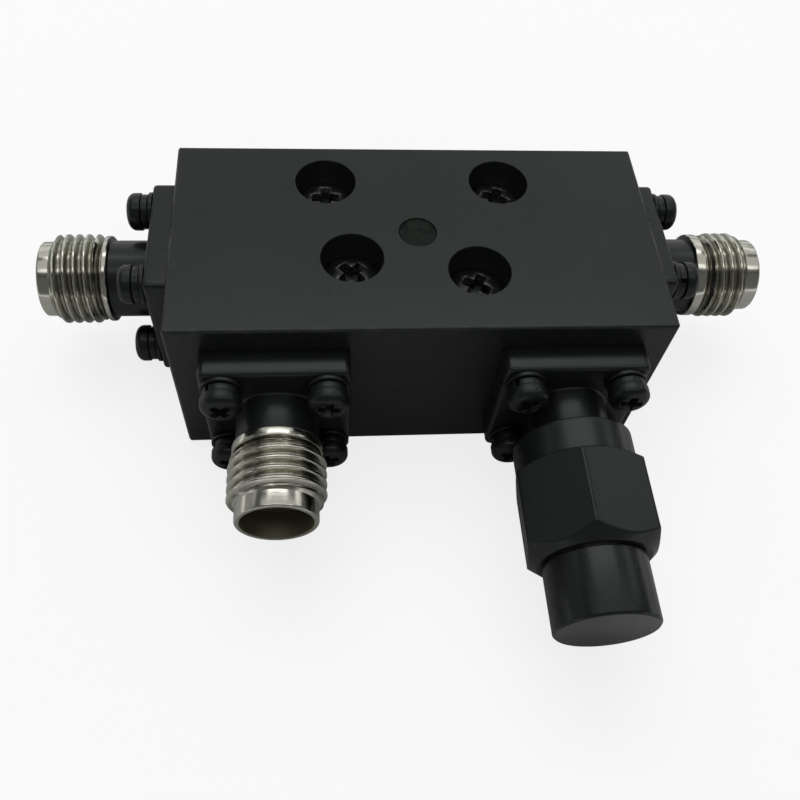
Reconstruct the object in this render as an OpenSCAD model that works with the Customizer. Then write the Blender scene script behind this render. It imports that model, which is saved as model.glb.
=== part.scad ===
// Coaxial directional coupler. A black metal block carries four flange-mounted
// threaded ports: two on the ends of the through line and two on the front face,
// where the coupled line ends. A screwed-on load closes the right front port.
// The frame has +X along the through line to the right, -Y out of the front face
// and +Z up. The origin is the middle of the block's bottom face.
// Threads are drawn as plain cylinders at their outer diameter.

/* [Housing] */
// Length of the housing along the through line
body_l = 32.8; // [32:0.1:42]
// Depth of the housing from its front face to its back face
body_w = 16.4; // [15.8:0.1:22]
// Height of the housing
body_h = 13.4; // [12.8:0.1:18]
// Thickness of the end walls and the front wall, which take the port screws
wall_t = 3; // [2.8:0.1:3.4]
// Thickness of the back wall
back_wall_t = 1.8; // [1.4:0.1:2]
// Chamfer along the outer edges of the housing
edge_c = 0.2; // [0.1:0.05:0.5]
// Radius of the pocket's upright corners
pocket_r = 1.5; // [1:0.1:2]

/* [Line chamber] */
// Distance between the two ground faces above and below the lines
ground_gap = 2; // [1.6:0.1:2.6]
// Thickness of the line conductors
line_t = 0.2; // [0.1:0.05:0.3]
// Width of both lines
line_w = 1.1; // [0.9:0.05:1.3]
// Gap between the two lines in the closely coupled middle
couple_gap = 0.35; // [0.2:0.05:0.5]
// Length of the closely coupled middle
couple_l = 4.4; // [3:0.1:5.4]
// How far the outer stretches of the coupled line step away
couple_step = 0.4; // [0.2:0.05:0.5]
// Clearance around the base block and the boards in the pocket
pocket_fit = 0.06; // [0.03:0.01:0.12]

/* [Ports] */
// Distance of the two end ports behind the middle of the housing
end_port_y = 1.75; // [1.5:0.05:2]
// Distance between the two front ports
front_pitch = 19.5; // [19:0.1:20.5]
// How far the middle of the two front ports lies to the right of the housing's middle
front_shift = 0.15; // [0:0.05:0.3]
// Distance between neighbouring flange screws
flange_pitch = 6.7; // [6.5:0.05:7]
// Distance of the flange screws from the flange's sides
flange_edge = 1.45; // [1.2:0.05:1.6]
// Thickness of the flange
flange_t = 1.9; // [1.6:0.1:2.4]
// Radius of the flange's corners
flange_r = 0.45; // [0.2:0.05:0.8]
// Distance from the housing to the open end of a port
reach = 9.8; // [9.5:0.05:11]
// Diameter of the neck behind the thread
neck_d = 5.45; // [5:0.05:5.6]
// Diameter of the shoulder ring behind the thread
ring_d = 5.9; // [5.8:0.05:6.3]
// Length of the shoulder ring
ring_l = 0.55; // [0.4:0.05:0.8]
// Diameter of the relief groove between ring and thread
groove_d = 5.2; // [4.9:0.1:5.4]
// Length of the relief groove
groove_l = 0.4; // [0.3:0.05:0.6]
// Outer diameter of the thread
thread_d = 6.35; // [6.3:0.05:6.5]
// Length of the thread
thread_l = 2.95; // [2.6:0.05:3.2]
// Diameter of the smooth lead-in at the open end
lead_d = 5.3; // [5.1:0.05:5.5]
// Length of the smooth lead-in
lead_l = 1.05; // [0.8:0.05:1.3]
// Chamfer at the ends of the thread, the ring and the lead-in
turned_c = 0.15; // [0.1:0.05:0.25]

/* [Mating face] */
// Diameter of the mouth that takes the plug
mouth_d = 4.6; // [4.5:0.02:4.7]
// Depth of the mouth down to its reference plane
mouth_l = 1.95; // [1.8:0.05:2.1]
// Diameter of the air-filled bore behind the reference plane
air_d = 2.92; // [2.8:0.02:3]
// Diameter of the centre contact
contact_d = 1.27; // [1.2:0.01:1.32]
// How far the contact stays behind the reference plane
contact_back = 0.05; // [0.02:0.01:0.1]
// Diameter of the socket hole in the contact
socket_d = 0.94; // [0.92:0.01:0.98]
// Depth of the socket hole
socket_l = 2.2; // [2.05:0.05:2.6]
// Width of the slots that make the contact's four fingers
slot_w = 0.14; // [0.1:0.01:0.18]

/* [Contact support] */
// Diameter of the support bead
bead_d = 3.4; // [3.2:0.05:3.6]
// Length of the support bead
bead_l = 3.3; // [3:0.1:3.5]
// Diameter of the contact inside the bead
bead_pin_d = 0.8; // [0.7:0.05:0.9]
// Diameter of the insulating sleeve in the housing wall
sleeve_d = 2; // [1.8:0.05:2.2]
// Diameter of the contact's tail inside the sleeve
tail_d = 0.6; // [0.5:0.05:0.64]
// Length of the half-round tail tip that lies on the line
tab_l = 1.3; // [1:0.1:1.6]
// Radial clearance between pieces that are pushed or screwed together
push_fit = 0.02; // [0.01:0.005:0.03]

/* [Port screws] */
// Shank diameter of the flange screws
port_screw_d = 1.6; // [1.4:0.05:1.7]
// Head diameter of the flange screws
port_head_d = 2.65; // [2.5:0.05:2.8]
// Height of the upright rim of the head
port_rim_l = 0.45; // [0.2:0.05:0.5]
// Height of the rounded top of the head
port_dome_l = 0.55; // [0.4:0.05:0.6]
// Length of the flange screws inside the housing wall
port_bite = 2.2; // [1.8:0.1:2.4]
// Thickness of the flat washers
flat_t = 0.3; // [0.2:0.05:0.35]
// Outer diameter of the flat washers
flat_d = 2.75; // [2.6:0.05:2.8]
// Thickness of the spring washers
spring_t = 0.55; // [0.4:0.05:0.6]
// Outer diameter of the spring washers
spring_d = 2.45; // [2.4:0.05:2.55]
// Width of the cut in a spring washer
spring_cut = 0.25; // [0.15:0.05:0.35]
// Radial clearance around a screw in a plain hole
screw_fit = 0.1; // [0.06:0.01:0.14]
// Space left beyond the tip of a screw
tip_room = 0.2; // [0.1:0.05:0.4]
// Chamfer at the tip of a screw or a pin
tip_c = 0.15; // [0.1:0.05:0.25]

/* [Cover screws] */
// Distance of the back screws from the middle of the housing along X
back_screw_x = 6.1; // [5.6:0.05:6.8]
// Distance of the back screws from the back face
back_screw_in = 3.45; // [3.2:0.05:3.6]
// Distance of the left front screw from the middle of the housing along X
left_screw_x = 4.5; // [4.2:0.05:5.4]
// Clearance between the left front screw's hole and the coupled line
left_screw_gap = 0.5; // [0.35:0.05:0.6]
// Distance of the right front screw from the middle of the housing along X
right_screw_x = 3.85; // [3.4:0.05:4.6]
// Distance of the right front screw from the front face
right_screw_in = 4.8; // [4.6:0.05:5.1]
// Shank diameter of the cover screws
cover_screw_d = 2; // [1.8:0.05:2]
// Head diameter of the cover screws
cover_head_d = 3.75; // [3.5:0.05:3.9]
// Height of the upright rim of the head
cover_rim_l = 0.65; // [0.5:0.05:0.8]
// Height of the rounded top of the head
cover_dome_l = 0.7; // [0.4:0.05:0.8]
// Diameter of the counterbores
counterbore_d = 4.15; // [4.05:0.05:4.4]
// Depth of the counterbores
counterbore_l = 2.8; // [2.2:0.05:3]
// Length of the cover screws inside the base block
cover_bite = 3; // [2.4:0.1:3.4]

/* [Driver recess] */
// Length of the cross recess as a share of the head's diameter
recess_l_share = 0.54; // [0.45:0.01:0.6]
// Width of the cross recess as a share of the head's diameter
recess_w_share = 0.16; // [0.12:0.01:0.2]
// Depth of the cross recess as a share of the head's height
recess_depth_share = 0.6; // [0.4:0.05:0.7]

/* [Tuning screw] */
// Diameter of the tuning screw
tuning_d = 2.5; // [2:0.05:2.5]
// How far the top of the tuning screw lies below the housing's top face
tuning_sink = 0.9; // [0.7:0.05:1.2]
// Width of the tuning screw's slot
tuning_slot_w = 0.4; // [0.3:0.05:0.5]
// Depth of the tuning screw's slot
tuning_slot_l = 0.6; // [0.4:0.05:0.8]
// Space between the tuning screw's tip and the lines
tuning_air = 0.35; // [0.2:0.05:0.6]
// How far the edge of the sealing lacquer lies below the top face
lacquer_sink = 0.25; // [0.2:0.05:0.4]
// Height of the lacquer's rounded top above its edge
lacquer_dome = 0.15; // [0.05:0.05:0.2]

/* [Mounting holes] */
// Distance between the two tapped mounting holes in the base block
mount_pitch = 20; // [19:0.5:21]
// Diameter of the mounting holes
mount_d = 2.5; // [2:0.1:2.6]
// Depth of the mounting holes
mount_l = 4; // [3:0.1:4.2]

/* [Load] */
// Size of the coupling nut across its flats
hex_af = 8.05; // [7.9:0.05:8.4]
// Angle of the nut's upper corner beside the vertical
hex_turn = 11; // [0:1:30]
// Diameter of the nut's round collar
collar_d = 7.9; // [7.6:0.05:8]
// Length of the nut's round collar
collar_l = 2.15; // [1.8:0.05:2.4]
// Length of the cone from the collar out to the nut's corners
collar_cone_l = 0.4; // [0.3:0.05:0.5]
// Length of the cone that bevels the nut's outer end
nut_cone_l = 0.9; // [0.7:0.05:1.1]
// Diameter of the nut's outer end inside the bevel
nut_tip_d = 7.2; // [6.8:0.1:7.4]
// Thickness of the sealing ring between the port and the load
gasket_t = 0.4; // [0.3:0.05:0.5]
// Space in the nut beyond the sealing ring
nut_room = 0.7; // [0.6:0.05:1.2]
// Length of the nut's inner lip around the load's stem
lip_l = 2.2; // [2:0.1:2.6]
// Diameter of the load's stem inside the nut
stem_d = 5.5; // [5.3:0.05:5.6]
// Thickness of the retaining ring
retainer_t = 0.4; // [0.3:0.05:0.45]
// How far the retaining ring reaches into the nut and into the stem
retainer_reach = 0.3; // [0.2:0.05:0.35]
// Play of the retaining ring in its grooves along the load
retainer_play = 0.1; // [0.05:0.05:0.2]
// Gap between the nut and the load's cap
cap_gap = 0.1; // [0.05:0.05:0.3]
// Diameter of the load's cap
cap_d = 6.55; // [6.3:0.05:6.8]
// Length of the load's cap
cap_l = 4.2; // [4:0.1:5.6]
// Diameter of the stem's end inside the cap
spigot_d = 4.6; // [4.4:0.05:4.8]
// Diameter of the pin that enters the port's contact
plug_pin_d = 0.91; // [0.9:0.005:0.915]
// How far the pin reaches into the port's contact
plug_pin_l = 1.6; // [1.2:0.05:1.8]
// Distance from the reference plane to the load's bead
load_air_l = 1.2; // [1:0.05:1.4]
// Length of the load's bead
load_bead_l = 2; // [1.6:0.1:2.4]
// Diameter of the tubular resistor
resistor_d = 1.6; // [1.4:0.05:1.8]
// Length of the resistor
resistor_l = 5; // [4.6:0.1:5.2]
// Length of the pin's tail and of the cap's stub inside the resistor
resistor_bite = 0.8; // [0.6:0.05:1]

/* [Hidden] */
$fn = 64;

paint = "#1c1e1e";
steel = "#b4b2a8";
gold = "#c8a24a";
plastic = "#ece8dc";
copper = "#b87a4a";
lacquer = "#1a211a";

// A cut runs this far past the face that it opens
over = 0.5;

// Heights of the line chamber
port_z = body_h / 2;
ceiling_z = port_z + ground_gap / 2;
floor_z = port_z - ground_gap / 2;
line_z = port_z - line_t / 2;
board_t = (ground_gap - line_t) / 2;

// The pocket is open at the bottom, with its middle moved by the walls' difference
pocket_l = body_l - 2 * wall_t;
pocket_w = body_w - wall_t - back_wall_t;
pocket_y = (wall_t - back_wall_t) / 2;
pocket_front = wall_t - body_w / 2;

// Each port is [x, y, turn]: the place of its axis on the housing, and its turn about Z
left_port = [-body_l / 2, end_port_y, 0];
right_port = [body_l / 2, end_port_y, 180];
coupled_port = [front_shift - front_pitch / 2, -body_w / 2, 90];
isolated_port = [front_shift + front_pitch / 2, -body_w / 2, 90];
ports = [left_port, right_port, coupled_port, isolated_port];

// Places along a port, measured outwards from the housing
lead_z = reach - lead_l;
thread_z = lead_z - thread_l;
groove_z = thread_z - groove_l;
ring_z = groove_z - ring_l;
plane_z = reach - mouth_l;

// Side of the square flange
flange_s = flange_pitch + 2 * flange_edge;

// Middle of the coupled line along Y, in its close middle and in its outer stretches
middle_y = end_port_y - line_w - couple_gap;
outer_y = middle_y - couple_step;

// Each screw is [x, y, turn of its recess]
flange_places = [
    [-flange_pitch / 2, -flange_pitch / 2, 20], [-flange_pitch / 2, flange_pitch / 2, 65],
    [flange_pitch / 2, flange_pitch / 2, 40], [flange_pitch / 2, -flange_pitch / 2, 85]
];
cover_hole_d = cover_screw_d + 2 * screw_fit;
back_screw_y = body_w / 2 - back_screw_in;
cover_places = [
    [-back_screw_x, back_screw_y, 0], [back_screw_x, back_screw_y, -25],
    [-left_screw_x, outer_y - line_w / 2 - left_screw_gap - cover_hole_d / 2, 45],
    [right_screw_x, right_screw_in - body_w / 2, -30]
];
seat_z = body_h - counterbore_l;
tuning_z = body_h - tuning_sink;
tuning_tip_z = line_z + line_t + tuning_air;

// Places along the load, measured like those of a port
collar_z = ring_z + collar_l;
stem_z = reach + gasket_t;
lip_z = stem_z + nut_room;
nut_end = lip_z + lip_l;
retainer_z = (lip_z + nut_end - retainer_t) / 2;
cap_z = nut_end + cap_gap;
load_end = cap_z + cap_l;
load_bead_z = plane_z + load_air_l;
resistor_z = load_bead_z + load_bead_l;
cap_floor = resistor_z + resistor_l;
hex_r = hex_af / 2 / cos(30);
plug_d = mouth_d - 2 * push_fit;

// A local frame with its z outwards from the housing and its x upwards
module at_port(p) {
    translate([p.x, p.y, port_z]) rotate([0, 0, p.z]) rotate([0, -90, 0]) children();
}

// A copy at each place of a list of [x, y, turn]
module at_places(places) {
    for (s = places) translate([s.x, s.y]) rotate(s.z) children();
}

// Both mounting holes
module at_mounts() {
    for (x = [-1, 1]) translate([x * mount_pitch / 2, 0]) children();
}

// Rectangle with round corners
module rounded(l, w, r) {
    square([l - 2 * r, w], center = true);
    square([l, w - 2 * r], center = true);
    for (x = [-1, 1], y = [-1, 1]) translate([x * (l / 2 - r), y * (w / 2 - r)]) circle(r);
}

// Rectangle with its corners cut off at 45 degrees
module cut_square(l, w, c) {
    half_l = l / 2;
    half_w = w / 2;
    quarter = [[half_l, half_w - c], [half_l - c, half_w]];
    polygon([
        for (p = quarter) p,
        for (p = [quarter[1], quarter[0]]) [-p.x, p.y],
        for (p = quarter) -p,
        for (p = [quarter[1], quarter[0]]) [p.x, -p.y]
    ]);
}

// Block with a chamfer along all twelve edges, standing on z = 0
module chamfered_block(l, w, h, c) {
    translate([0, 0, h / 2]) intersection() {
        linear_extrude(h, center = true) cut_square(l, w, c);
        rotate([90, 0, 0]) linear_extrude(w, center = true) cut_square(l, h, c);
        rotate([90, 0, 90]) linear_extrude(l, center = true) cut_square(w, h, c);
    }
}

// Tube standing on z = 0
module tube(outer_d, inner_d, l) {
    linear_extrude(l) difference() {
        circle(d = outer_d);
        circle(d = inner_d);
    }
}

// Plain hole of diameter d from z = 0 down to -l, cut past the face above it
module drilled(d, l) {
    translate([0, 0, -l]) cylinder(h = l + over, d = d);
}

// Rod along z from one height to another
module rod(d, from, to) {
    translate([0, 0, from]) cylinder(h = to - from, d = d);
}

// Outline of what fills the pocket, smaller by a clearance on all sides
module pocket_outline(fit) {
    translate([0, pocket_y]) rounded(pocket_l - 2 * fit, pocket_w - 2 * fit, pocket_r - fit);
}

// Screw with its seat at z = 0, its shank below and a rounded head with a cross recess above
module pan_screw(d, l, head_d, rim_l, dome_l) {
    flat_r = head_d / 2 - dome_l;
    head_l = rim_l + dome_l;
    recess_l = head_l * recess_depth_share;
    rod(d, tip_c - l, 0);
    translate([0, 0, -l]) cylinder(h = tip_c, d1 = d - 2 * tip_c, d2 = d);
    difference() {
        rotate_extrude() {
            square([flat_r, head_l]);
            square([head_d / 2, rim_l]);
            translate([flat_r, rim_l]) intersection() {
                circle(dome_l);
                square(dome_l);
            }
        }
        for (a = [0, 90]) rotate(a) translate([0, 0, head_l])
            cube([head_d * recess_l_share, head_d * recess_w_share, 2 * recess_l], center = true);
    }
}

// Slot across the top of the tuning screw, which the lacquer fills
module tuning_slot() {
    translate([0, 0, tuning_z - tuning_slot_l / 2])
        cube([tuning_d + over, tuning_slot_w, tuning_slot_l], center = true);
}

module housing() color(paint) difference() {
    chamfered_block(body_l, body_w, body_h, edge_c);
    translate([0, 0, -over]) linear_extrude(ceiling_z + over) pocket_outline(0);
    at_places(cover_places) {
        translate([0, 0, body_h]) drilled(counterbore_d, counterbore_l);
        rod(cover_hole_d, floor_z, body_h);
    }
    rod(tuning_d + 2 * push_fit, floor_z, body_h + over);
    for (p = ports) at_port(p) {
        rod(sleeve_d + 2 * push_fit, -wall_t - over, over);
        at_places(flange_places) drilled(port_screw_d + 2 * push_fit, port_bite + tip_room);
    }
}

// Block that closes the pocket and clamps the boards against its ceiling
module base_block() color(paint) difference() {
    linear_extrude(floor_z) pocket_outline(pocket_fit);
    at_places(cover_places) translate([0, 0, floor_z])
        drilled(cover_screw_d + 2 * push_fit, cover_bite + tip_room);
    at_mounts() rod(mount_d, -over, mount_l);
}

// One of the two insulating boards, with the clearance holes of the cover screws
module board(z) {
    translate([0, 0, z]) linear_extrude(board_t) difference() {
        pocket_outline(pocket_fit);
        at_places(cover_places) circle(d = cover_hole_d);
    }
}

module lower_board() color(plastic) board(floor_z);

// This board has room for the tuning screw and for the contacts' tails
module upper_board() color(plastic) difference() {
    board(ceiling_z - board_t);
    rod(tuning_d + 2 * screw_fit, port_z, ceiling_z + over);
    for (p = ports) at_port(p) translate([0, -tail_d / 2 - screw_fit, -wall_t - tab_l - screw_fit])
        cube([tail_d / 2 + screw_fit, tail_d + 2 * screw_fit, tab_l + screw_fit + over]);
}

// Straight conductor between the two end ports
module through_line() color(copper) translate([0, end_port_y, line_z])
    linear_extrude(line_t) square([pocket_l - 4 * pocket_fit, line_w], center = true);

// Conductor between the two front ports, with mitred corners and a middle that steps
// towards the through line
module coupled_line() color(copper) translate([front_shift, 0, line_z]) linear_extrude(line_t) {
    step_x = couple_l / 2 + couple_step;
    half_w = line_w / 2;
    leg_out = front_pitch / 2 + half_w;
    leg_in = front_pitch / 2 - half_w;
    leg_end = pocket_front + 2 * pocket_fit;
    right_half = [
        [couple_l / 2, middle_y + half_w], [step_x, outer_y + half_w],
        [leg_out - line_w, outer_y + half_w], [leg_out, outer_y + half_w - line_w],
        [leg_out, leg_end], [leg_in, leg_end], [leg_in, outer_y - half_w],
        [step_x, outer_y - half_w], [couple_l / 2, middle_y - half_w]
    ];
    last = len(right_half) - 1;
    polygon(concat(right_half, [for (i = [last:-1:0]) [-right_half[i].x, right_half[i].y]]));
}

module cover_screws() color(paint) at_places(cover_places) translate([0, 0, seat_z])
    pan_screw(cover_screw_d, seat_z - floor_z + cover_bite, cover_head_d, cover_rim_l, cover_dome_l);

module tuning_screw() color(gold) difference() {
    rod(tuning_d, tuning_tip_z, tuning_z);
    tuning_slot();
}

// Lacquer over the tuning screw, with a slightly rounded top
module sealing_lacquer() color(lacquer) {
    edge_z = body_h - lacquer_sink;
    ball_r = ((tuning_d / 2) ^ 2 + lacquer_dome ^ 2) / (2 * lacquer_dome);
    intersection() {
        rod(tuning_d, tuning_z, body_h);
        translate([0, 0, edge_z + lacquer_dome - ball_r]) sphere(ball_r, $fn = 128);
    }
    intersection() {
        rod(tuning_d, tuning_z - tuning_slot_l, tuning_z);
        tuning_slot();
    }
}

// Flange, neck, shoulder ring, thread and lead-in, bored for the bead and the contact
module shell(p) color(steel) at_port(p) difference() {
    union() {
        linear_extrude(flange_t) rounded(flange_s, flange_s, flange_r);
        rotate_extrude() polygon([
            [0, 0], [neck_d / 2, 0], [neck_d / 2, ring_z],
            [ring_d / 2 - turned_c, ring_z], [ring_d / 2, ring_z + turned_c],
            [ring_d / 2, groove_z - turned_c], [ring_d / 2 - turned_c, groove_z],
            [groove_d / 2, groove_z], [groove_d / 2, thread_z],
            [thread_d / 2 - turned_c, thread_z], [thread_d / 2, thread_z + turned_c],
            [thread_d / 2, lead_z - turned_c], [thread_d / 2 - turned_c, lead_z],
            [lead_d / 2, lead_z], [lead_d / 2, reach - turned_c],
            [lead_d / 2 - turned_c, reach], [0, reach]
        ]);
    }
    rod(bead_d + 2 * push_fit, -over, bead_l);
    rod(air_d, 0, reach);
    rod(mouth_d, plane_z, reach + over);
    at_places(flange_places) rod(port_screw_d + 2 * screw_fit, -over, flange_t + over);
}

// Centre contact: a slotted socket in front, a thin stretch in the bead, and a tail
// through the wall that ends as a half-round tab on the line
module contact(p) color(gold) at_port(p) {
    tip_z = plane_z - contact_back;
    difference() {
        rod(contact_d, bead_l, tip_z);
        rod(socket_d, tip_z - socket_l, tip_z + over);
        for (a = [45, 135]) rotate(a) translate([0, 0, tip_z])
            cube([contact_d + over, slot_w, 2 * socket_l], center = true);
    }
    rod(bead_pin_d, 0, bead_l);
    rod(tail_d, -wall_t, 0);
    intersection() {
        rod(tail_d, -wall_t - tab_l, -wall_t);
        translate([line_t / 2, -tail_d / 2, -wall_t - tab_l]) cube([tail_d, tail_d, tab_l]);
    }
}

// Insulating bead that holds the contact in the shell
module bead(p) color(plastic) at_port(p) tube(bead_d, bead_pin_d + 2 * push_fit, bead_l);

// Insulating sleeve around the contact's tail in the housing wall
module sleeve(p) color(plastic) at_port(p) translate([0, 0, -wall_t])
    tube(sleeve_d, tail_d + 2 * push_fit, wall_t);

module flat_washers(p) color(steel) at_port(p) at_places(flange_places)
    translate([0, 0, flange_t]) tube(flat_d, port_screw_d + 2 * screw_fit, flat_t);

// Split rings under the screw heads
module spring_washers(p) color(paint) at_port(p) at_places(flange_places)
    translate([0, 0, flange_t + flat_t]) difference() {
        tube(spring_d, port_screw_d + 2 * screw_fit, spring_t);
        translate([0, -spring_cut / 2, -over]) cube([spring_d, spring_cut, spring_t + 2 * over]);
    }

module port_screws(p) color(paint) at_port(p) {
    head_z = flange_t + flat_t + spring_t;
    at_places(flange_places) translate([0, 0, head_z])
        pan_screw(port_screw_d, head_z + port_bite, port_head_d, port_rim_l, port_dome_l);
}

// Coupling nut: a round collar over the port's thread, and a hexagon with a cone at each end.
// Each cone's line runs on past the corners, and the inner one starts inside the collar.
module load_nut() color(paint) at_port(isolated_port) difference() {
    cone_z = collar_z - collar_cone_l;
    union() {
        rod(collar_d, ring_z, collar_z + collar_cone_l);
        rotate(hex_turn) intersection() {
            translate([0, 0, cone_z]) cylinder(h = nut_end - cone_z, r = hex_r, $fn = 6);
            rotate_extrude() polygon([
                [0, cone_z], [collar_d - hex_r, cone_z],
                [2 * hex_r - collar_d / 2, collar_z + 2 * collar_cone_l],
                [2 * hex_r - nut_tip_d / 2, nut_end - 2 * nut_cone_l],
                [nut_tip_d / 2, nut_end], [0, nut_end]
            ]);
        }
    }
    rod(thread_d + 2 * push_fit, ring_z - over, lip_z);
    rod(stem_d + 2 * push_fit, lip_z, nut_end + over);
    rod(stem_d + 2 * (retainer_reach + push_fit), retainer_z - retainer_play, retainer_z + retainer_t);
}

// Split ring that lets the nut turn on the stem and pull on it
module load_retainer() color(gold) at_port(isolated_port) translate([0, 0, retainer_z]) difference() {
    tube(stem_d + 2 * retainer_reach, stem_d - 2 * retainer_reach, retainer_t);
    translate([0, -retainer_t / 2, -over]) cube([stem_d, retainer_t, retainer_t + 2 * over]);
}

module load_gasket() color(lacquer) at_port(isolated_port) translate([0, 0, reach])
    tube(stem_d, mouth_d, gasket_t);

// Outer conductor of the load: the plug in front, the stem with the ring's groove, and the
// spigot that carries the cap
module load_stem() color(steel) at_port(isolated_port) difference() {
    union() {
        rod(plug_d, plane_z, stem_z);
        rod(stem_d, stem_z, retainer_z);
        rod(stem_d - 2 * (retainer_reach + push_fit), retainer_z, retainer_z + retainer_t + retainer_play);
        rod(stem_d, retainer_z + retainer_t + retainer_play, cap_z);
        rod(spigot_d, cap_z, cap_floor - tip_room);
    }
    rod(air_d, plane_z - over, cap_floor);
    rod(bead_d + 2 * push_fit, load_bead_z, cap_floor);
}

// Closed cap on the load's outer end, with a stub that grounds the resistor
module load_cap() color(paint) at_port(isolated_port) {
    difference() {
        union() {
            rod(cap_d, cap_z, load_end - turned_c);
            translate([0, 0, load_end - turned_c])
                cylinder(h = turned_c, d1 = cap_d, d2 = cap_d - 2 * turned_c);
        }
        rod(spigot_d + 2 * push_fit, cap_z - over, cap_floor);
    }
    rod(bead_pin_d, cap_floor - resistor_bite, cap_floor);
}

// Centre conductor of the load, which plugs into the port's contact
module load_pin() color(gold) at_port(isolated_port) {
    shoulder = plane_z + contact_back;
    translate([0, 0, plane_z - plug_pin_l]) cylinder(h = tip_c, d1 = plug_pin_d - 2 * tip_c, d2 = plug_pin_d);
    rod(plug_pin_d, plane_z - plug_pin_l + tip_c, shoulder);
    rod(contact_d, shoulder, load_bead_z);
    rod(bead_pin_d, load_bead_z, resistor_z + resistor_bite);
}

module load_bead() color(plastic) at_port(isolated_port) translate([0, 0, load_bead_z])
    tube(bead_d, bead_pin_d + 2 * push_fit, load_bead_l);

module load_resistor() color(plastic) at_port(isolated_port) translate([0, 0, resistor_z])
    tube(resistor_d, bead_pin_d + 2 * push_fit, resistor_l);

housing();
base_block();
lower_board();
upper_board();
through_line();
coupled_line();
cover_screws();
tuning_screw();
sealing_lacquer();
shell(left_port);  // left_shell
contact(left_port);  // left_contact
bead(left_port);  // left_bead
sleeve(left_port);  // left_sleeve
flat_washers(left_port);  // left_flat_washers
spring_washers(left_port);  // left_spring_washers
port_screws(left_port);  // left_screws
shell(right_port);  // right_shell
contact(right_port);  // right_contact
bead(right_port);  // right_bead
sleeve(right_port);  // right_sleeve
flat_washers(right_port);  // right_flat_washers
spring_washers(right_port);  // right_spring_washers
port_screws(right_port);  // right_screws
shell(coupled_port);  // coupled_shell
contact(coupled_port);  // coupled_contact
bead(coupled_port);  // coupled_bead
sleeve(coupled_port);  // coupled_sleeve
flat_washers(coupled_port);  // coupled_flat_washers
spring_washers(coupled_port);  // coupled_spring_washers
port_screws(coupled_port);  // coupled_screws
shell(isolated_port);  // isolated_shell
contact(isolated_port);  // isolated_contact
bead(isolated_port);  // isolated_bead
sleeve(isolated_port);  // isolated_sleeve
flat_washers(isolated_port);  // isolated_flat_washers
spring_washers(isolated_port);  // isolated_spring_washers
port_screws(isolated_port);  // isolated_screws
load_nut();
load_retainer();
load_gasket();
load_stem();
load_cap();
load_pin();
load_bead();
load_resistor();
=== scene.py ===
import math
from collections import namedtuple
import bmesh
import bpy
import numpy as np
from mathutils import Matrix, Vector


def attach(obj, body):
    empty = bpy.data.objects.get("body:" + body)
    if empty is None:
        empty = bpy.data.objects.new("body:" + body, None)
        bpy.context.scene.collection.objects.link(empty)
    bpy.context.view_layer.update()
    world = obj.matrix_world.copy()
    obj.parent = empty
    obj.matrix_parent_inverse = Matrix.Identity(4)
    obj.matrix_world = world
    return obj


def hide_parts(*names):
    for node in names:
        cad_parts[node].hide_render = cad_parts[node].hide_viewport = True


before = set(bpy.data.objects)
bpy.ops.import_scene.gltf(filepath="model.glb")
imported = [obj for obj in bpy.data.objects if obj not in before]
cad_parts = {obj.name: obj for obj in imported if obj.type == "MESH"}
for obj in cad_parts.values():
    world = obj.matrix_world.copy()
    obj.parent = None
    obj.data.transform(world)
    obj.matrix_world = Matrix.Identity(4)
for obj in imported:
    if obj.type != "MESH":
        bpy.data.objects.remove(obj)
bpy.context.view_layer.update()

MM = 0.001

# Sizes of the coupler in millimetres, as its solids have them, and those of the edges that only this model
# has. S is a distance along a port from the housing, R a radius, T a thickness, and AF a width across flats.
BODY_L, BODY_W, BODY_H = 32.8, 16.4, 13.4
EDGE_CUT = 0.2
FLANGE_S, FLANGE_T, FLANGE_R, FLANGE_PITCH = 9.6, 1.9, 0.45, 6.7
FLANGE_BACK_EDGE, FLANGE_FRONT_EDGE, NECK_FOOT = 0.05, 0.28, 0.16
NECK_R, RING_R, GROOVE_R, THREAD_R, LEAD_R = 2.725, 2.95, 2.6, 3.175, 2.65
RING_S, LEAD_S, REACH = 4.85, 8.75, 9.8
MOUTH_R, PLANE_S, AIR_R, BEAD_R, BEAD_S = 2.3, 7.85, 1.46, 1.72, 3.3
PITCH, THREAD_DEPTH = 0.7056, 0.38
PORT_SHANK_R, PORT_HEAD_R, PORT_RIM, PORT_DOME, PORT_BITE = 0.8, 1.325, 0.45, 0.55, 2.2
FLAT_R, FLAT_T, FLAT_EDGE, SCREW_FIT = 1.375, 0.3, 0.06, 0.1
SPRING_R, SPRING_T, SPRING_EDGE, SPRING_CUT, SPRING_RISE = 1.225, 0.55, 0.07, 0.25, 0.06
COVER_SHANK_R, COVER_HEAD_R, COVER_RIM, COVER_DOME, COVER_L = 1.0, 1.875, 0.65, 0.7, 7.9
SEAT_Z = 10.6
RECESS_L, RECESS_W, RECESS_DEPTH = 0.54, 0.19, 0.6
COLLAR_R, COLLAR_S, COLLAR_CONE, HEX_AF, HEX_TURN = 3.95, 7.0, 0.4, 8.05, 11.0
NUT_CONE, NUT_TIP_R, NUT_END, LIP_S, STEM_R = 0.9, 3.6, 13.1, 10.9, 2.75
CAP_S, CAP_R, CAP_END, CAP_CHAMFER, SPIGOT_R, CAP_FLOOR = 13.2, 3.275, 17.4, 0.15, 2.32, 16.05
LACQUER_R, LACQUER_T, LACQUER_SUNK = 1.245, 0.9, 0.14

# Each port is its place on the housing and its turn about Z in degrees
FRONT_TURN = 90.0
PORTS = {
    "left": (-BODY_L / 2, 1.75, 0.0),
    "right": (BODY_L / 2, 1.75, 180.0),
    "coupled": (-9.6, -BODY_W / 2, FRONT_TURN),
    "isolated": (9.9, -BODY_W / 2, FRONT_TURN),
}
PORT_Z = BODY_H / 2

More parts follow.
